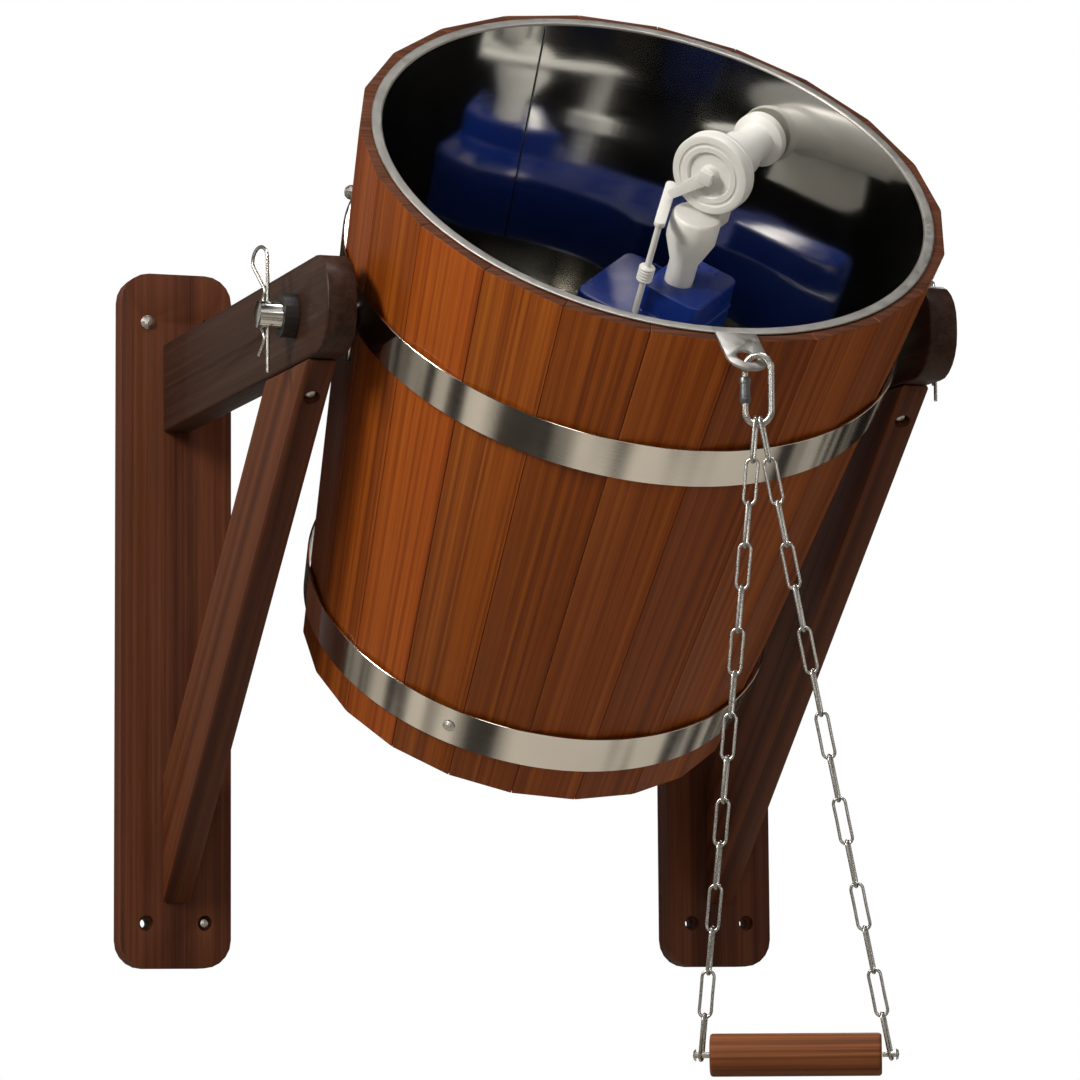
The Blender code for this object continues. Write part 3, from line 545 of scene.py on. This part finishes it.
def liner():
    """The liner with a rolled flange, a rounded foot and its side seam."""
    floor = BUCKET_LOW + BOTTOM_THICKNESS + GAP
    inner_low = STAVE_INNER_TOP - TAPER * (STAVE_TOP - floor) - GAP - MM
    inner_top = STAVE_INNER_TOP - GAP - MM
    rim = STAVE_TOP + GAP
    profile = [(0, floor + MM), (inner_low - 6 * MM, floor + MM)]
    bend = arc((inner_low - 6 * MM, floor + 7 * MM), 6 * MM, -80, 0, 8)
    profile += bend
    profile += [(inner_top - 0.2 * MM, rim - 0.2 * MM)]
    profile += arc((inner_top + 1 * MM, rim), 1.2 * MM, 170, 90, 6)
    profile += [(167.4 * MM, rim + 1.2 * MM)]
    profile += arc((167.9 * MM, rim + 0.6 * MM), 0.6 * MM, 80, -90, 6)
    shape = lathe(profile, BUCKET, 192)
    seam = math.radians(99)
    top = Vector((inner_top * math.cos(seam), inner_top * math.sin(seam), rim - 2 * MM))
    low = Vector((inner_low * math.cos(seam), inner_low * math.sin(seam), floor + 8 * MM))
    inset = Vector((-math.cos(seam), -math.sin(seam), 0)) * 0.1 * MM
    tangent = Vector((-math.sin(seam), math.cos(seam), 0))
    path = [BUCKET @ (top.lerp(low, i / 30) + inset) for i in range(31)]
    sweep(shape, path, BUCKET.to_3x3() @ tangent, 0.8 * MM, 8)
    shape.normal_update()
    for face in shape.faces:
        flange = (BUCKET_INVERSE @ face.calc_center_median()).z > rim - 0.4 * MM
        face.material_index = 1 if flange else 0
    mesh = mesh_of(shape, "liner_shell", 50)
    place(mesh, "liner_shell", "bucket", ["liner"], [LINER_STEEL, SATIN_STEEL])


liner()


def hoop(node, centre_z):
    half = 13.5 * MM
    outer = TOP_RADIUS - TAPER * (STAVE_TOP - centre_z) + 0.6 * MM
    top, low = outer + TAPER * half, outer - TAPER * half
    thick = 1.2 * MM
    profile = [(top, centre_z + half)]
    profile += [(top + thick * 0.88, centre_z + half), (top + thick, centre_z + half - 0.15 * MM)]
    profile += [(low + thick, centre_z - half + 0.15 * MM), (low + thick * 0.88, centre_z - half)]
    profile += [(low, centre_z - half)]
    shape = lathe(profile, BUCKET, 176, closed=True)
    name = node + "_band"
    place(mesh_of(shape, name, 30), name, "bucket", [node], [HOOP_STEEL])


hoop("upper_hoop", UPPER_HOOP_Z)
hoop("lower_hoop", LOWER_HOOP_Z)
refined("pull_tab", "_strip", [SATIN_STEEL], 0.4 * MM, 2)
for side in ("left", "right"):
    refined(side + "_axle", "_pin", [STEEL], 0.35 * MM, 2, limit=40)


def r_clip(sign, node):
    """A spring clip bent from round wire: straight leg, eye and waved leg."""
    wire = 1.1 * MM
    hug = (AXLE_PIN_RADIUS + wire + GAP) / math.cos(CLIP_YAW)
    eye = 8 * MM
    points = [(0, -34 * MM + i * 4.5 * MM) for i in range(13)]
    points += arc((eye, 33 * MM), eye, 180, -20, 28)
    points += [(3.4 * MM, 15.6 * MM), (2.9 * MM, 13.6 * MM), (4.2 * MM, 11 * MM)]
    points += arc((0, 0), hug, 52, -52, 20)
    points += [(4.2 * MM, -11 * MM), (3.2 * MM, -13.5 * MM), (4.2 * MM, -16.2 * MM)]
    points += [(6.4 * MM, -19 * MM), (9.5 * MM, -23 * MM)]
    swing = Matrix.Rotation(-CLIP_YAW * sign, 4, "Z")
    centre = AXLE + Vector((sign * CLIP_X, 0, 0))
    path = [centre + swing @ Vector((0, y, z)) for y, z in points]
    shape = bmesh.new()
    sweep(shape, path, swing.to_3x3() @ Vector((1, 0, 0)), wire, 12)
    name = node + "_wire"
    place(mesh_of(shape, name, 60), name, "bucket", [node], [ZINC])


r_clip(-1, "left_r_clip")
r_clip(1, "right_r_clip")

# ---------------------------------------------------------------- link, chains and handle

LINK_SIDE = Vector((math.cos(LINK_YAW), math.sin(LINK_YAW), 0))
LINK_NORMAL = LINK_SIDE.cross(Vector((0, 0, 1)))
LINK_ARC = 7.4 * MM
LINK_WIRE = 1.9 * MM
LINK_RUN = 21 * MM - LINK_WIRE - LINK_ARC
TAB_HOLE = BUCKET @ Vector((0, -TAB_HOLE_OUT, STAVE_TOP + GAP + 1 * MM))
TAB_OUT = BUCKET.to_3x3() @ Vector((0, -1, 0))
DROP = math.radians(138)
LINK_CENTRE = (
    TAB_HOLE
    + TAB_OUT * 2.5 * MM
    - LINK_SIDE * LINK_ARC * math.cos(DROP)
    - Vector((0, 0, LINK_RUN + LINK_ARC * math.sin(DROP)))
)


def on_link(side, up):
    return LINK_CENTRE + LINK_SIDE * side + Vector((0, 0, up))


def quick_link():
    path = [(-LINK_ARC, -3 * MM), (-LINK_ARC, 2 * MM), (-LINK_ARC, 7 * MM)]
    path += arc((0, LINK_RUN), LINK_ARC, 180, 0, 28)
    path += [(LINK_ARC, 4 * MM), (LINK_ARC, -4 * MM)]
    path += arc((0, -LINK_RUN), LINK_ARC, 0, -180, 28)
    path += [(-LINK_ARC, -7 * MM)]
    shape = bmesh.new()
    sweep(shape, [on_link(s, u) for s, u in path], LINK_NORMAL, LINK_WIRE, 20)
    name = "quick_link_wire"
    place(mesh_of(shape, name, 60), name, "link", ["quick_link"], [ZINC])
    half = 7.25 * MM
    bore = LINK_WIRE + GAP
    upper = [(2.9 * MM, half), (3.35 * MM, half - 0.7 * MM)]
    upper += [(3.35 * MM, half - 3.4 * MM), (3.0 * MM, half - 3.8 * MM)]
    profile = [(bore, half), *upper, *((r, -z) for r, z in reversed(upper)), (bore, -half)]
    shape = lathe(profile, Matrix.Translation(on_link(-LINK_ARC, 0)), 32, closed=True)
    name = "quick_link_nut"
    place(mesh_of(shape, name), name, "link_sleeve", ["quick_link_sleeve"], [DARK_ZINC])


quick_link()


def chain(sign, node):
    """Fifteen loose links of round wire, each a quarter turn from the last."""
    wire = 0.9 * MM
    half_width = 3.4 * MM
    inner = LINK_ARC - LINK_WIRE
    rise = inner - math.sqrt(inner**2 - CHAIN_TOP_SPREAD**2)
    top = on_link(sign * CHAIN_TOP_SPREAD, -LINK_RUN - inner + rise + 1.2 * MM)
    along = Vector((math.cos(HANDLE_YAW), math.sin(HANDLE_YAW), 0))
    hook = HANDLE_CENTRE + along * sign * (HANDLE_HALF + 4.7 * MM)
    down = (hook - top).normalized()
    end = hook + down * (1.6 * MM + GAP)
    pitch = (end - top).length / CHAIN_LINKS
    half_run = pitch / 2 + wire - half_width
    across = down.cross(LINK_SIDE).normalized()
    shape = bmesh.new()
    for index in range(CHAIN_LINKS):
        lateral = across if index % 2 == 0 else down.cross(across)
        centre = top + down * pitch * (index + 0.5)
        outline = arc((0, half_run), half_width, 0, 180, 12)
        outline += [(-half_width * 0.97, 0)]
        outline += arc((0, -half_run), half_width, 180, 360, 12)
        outline += [(half_width * 0.97, 0)]
        path = [centre + lateral * s - down * u for s, u in outline]
        sweep(shape, path, lateral.cross(down), wire, 12, True)
    name = node + "_links"
    place(mesh_of(shape, name, 80), name, "chains", [node], [ZINC])


chain(-1, "left_chain")
chain(1, "right_chain")


def handle():
    """A turned grip with rounded ends."""
    spin = Matrix.Translation(HANDLE_CENTRE) @ Matrix.Rotation(HANDLE_YAW, 4, "Z")
    matrix = spin @ Matrix.Rotation(math.radians(90), 4, "Y")
    radius = 11.65 * MM
    ease = 1.8 * MM
    profile = [(0, HANDLE_HALF)]
    profile += reversed(arc((radius - ease, HANDLE_HALF - ease), ease, 0, 90, 5))
    profile += [(radius, z * MM) for z in (30, 15, 0, -15, -30)]
    profile += reversed(arc((radius - ease, -HANDLE_HALF + ease), ease, -90, 0, 5))
    profile += [(0, -HANDLE_HALF)]
    shape = lathe(profile, matrix, 64)
    mesh = mesh_of(shape, "pull_handle_grip", 60)
    place(mesh, "pull_handle_grip", "handle", ["pull_handle"], [HANDLE_WOOD])


handle()

# ---------------------------------------------------------------- float valve

OUTWARD = VALVE @ Matrix.Rotation(math.radians(90), 4, "Y")


def slab(shape, outline, near, far, matrix):
    """Adds a flat prism with eased edges to a bmesh: an outline in Y and Z, from near to far in X."""
    ends = [[shape.verts.new(matrix @ Vector((x, y, z))) for y, z in outline] for x in (near, far)]
    faces = [shape.faces.new(ends[0]), shape.faces.new(list(reversed(ends[1])))]
    for index in range(len(outline)):
        after = (index + 1) % len(outline)
        faces.append(shape.faces.new((ends[0][index], ends[1][index], ends[1][after], ends[0][after])))
    bmesh.ops.recalc_face_normals(shape, faces=faces)
    edges = list({edge for face in faces for edge in face.edges})
    bmesh.ops.bevel(shape, geom=edges, offset=0.4 * MM, segments=2, affect="EDGES", profile=0.5)


def valve():
    """The ringed cap with its bracket, the waisted body with its thread, and the rod with its adjuster."""
    cap = [(0, 98), (24, 98), (25, 97.6), (25.5, 96.5), (25.5, 95), (25.1, 94.5), (25.1, 92.5)]
    cap += [(25.5, 92), (25.5, 88), (25, 87), (24, 86.5), (20.5, 86.5), (20, 87.2), (18.5, 87.2)]
    cap += [(18, 86.5), (15, 86.5)]
    cap += [(14.4, 87), (14, 88.5), (6.4, 88.5), (6, 88), (5.2, 84.4), (4.6, 84), (0, 84)]
    profile = [(r * MM, z * MM) for r, z in cap]
    shape = lathe(profile, OUTWARD, 72)
    hub = [(y * MM, z * MM) for y, z in ((-4.2, -4.2), (4.2, -4.2), (4.2, 4.2), (-4.2, 4.2))]
    slab(shape, hub, 84.2 * MM, 80.6 * MM, VALVE)
    foot = Vector((19.5 * MM, -22.3 * MM))
    across = Vector((-foot.y, foot.x)).normalized()
    bracket = [across * -4.6 * MM, foot - across * 2.6 * MM, foot + across * 2.6 * MM, across * 4.6 * MM]
    slab(shape, [tuple(point) for point in bracket], 84.2 * MM, 81.8 * MM, VALVE)
    mesh = mesh_of(shape, "valve_cap_disc", 30)
    place(mesh, "valve_cap_disc", "bucket", ["valve_cap"], [WHITE])
    body = [(0, 196), (9.2, 196), (10.2, 195)]
    for turn in range(18):
        body += [(10.2, 194.4 - turn * 1.8), (9.5, 193.5 - turn * 1.8)]
    body += [(10.2, 161), (10.2, 155.6), (16.6, 155.6), (17, 155), (17, 149.6), (16.4, 149), (12.6, 147)]
    body += [(12, 146), (12, 129), (12.6, 128), (14.1, 126.6), (14.5, 126), (14.5, 106), (15, 104.6)]
    body += [(18.4, 102.4), (19, 101.6), (19, 98.3), (0, 98.3)]
    profile = [(r * MM, z * MM) for r, z in body]
    mesh = mesh_of(lathe(profile, OUTWARD, 64), "valve_body_barrel", 30)
    place(mesh, "valve_body_barrel", "bucket", ["valve_body"], [WHITE])
    rod = [(0, 44.6), (1.6, 44.6), (2, 44.2), (2, 16)]
    for turn in range(5):
        rod += [(4.6, 15.4 - turn * 2), (5, 14.9 - turn * 2), (5, 14.3 - turn * 2), (4.6, 13.8 - turn * 2)]
    rod += [(2, 5), (2, -17.7), (0, -17.7)]
    profile = [(r * MM, z * MM - VALVE_Z) for r, z in rod]
    spot = VALVE @ Matrix.Translation((FLOAT_ROD_OUT, FLOAT_ROD_SIDE, 0))
    mesh = mesh_of(lathe(profile, spot, 40), "float_rod_stem", 30)
    place(mesh, "float_rod_stem", "float_unit", ["float_rod"], [WHITE])


valve()
refined("valve_guide", "_column", [WHITE], 0.7 * MM, 2, limit=40)
refined("valve_lever", "_arm", [WHITE], 0.5 * MM, 2)
refined("valve_lock_nut", "_hex", [WHITE], 0.6 * MM, 2, limit=40)
refined("float", "_box", [BLUE], 1.6 * MM, 3, limit=50)

# ---------------------------------------------------------------- CAD pieces kept, with their finish

KEPT = {
    "bottom_board": BOTTOM_WOOD,
    "left_axle_bush": BUSH,
    "right_axle_bush": BUSH,
    "lower_hoop_rivet": SCREW_ZINC,
    "left_side_bolt": SCREW_ZINC,
    "right_side_bolt": SCREW_ZINC,
    "left_brace_screw": SCREW_ZINC,
    "right_brace_screw": SCREW_ZINC,
    "left_upper_wall_screw": SCREW_ZINC,
    "left_lower_wall_screw": SCREW_ZINC,
    "left_handle_screw": SCREW_ZINC,
    "right_handle_screw": SCREW_ZINC,
}
for node, finish in KEPT.items():
    NODES[node].data.materials.clear()
    NODES[node].data.materials.append(finish)
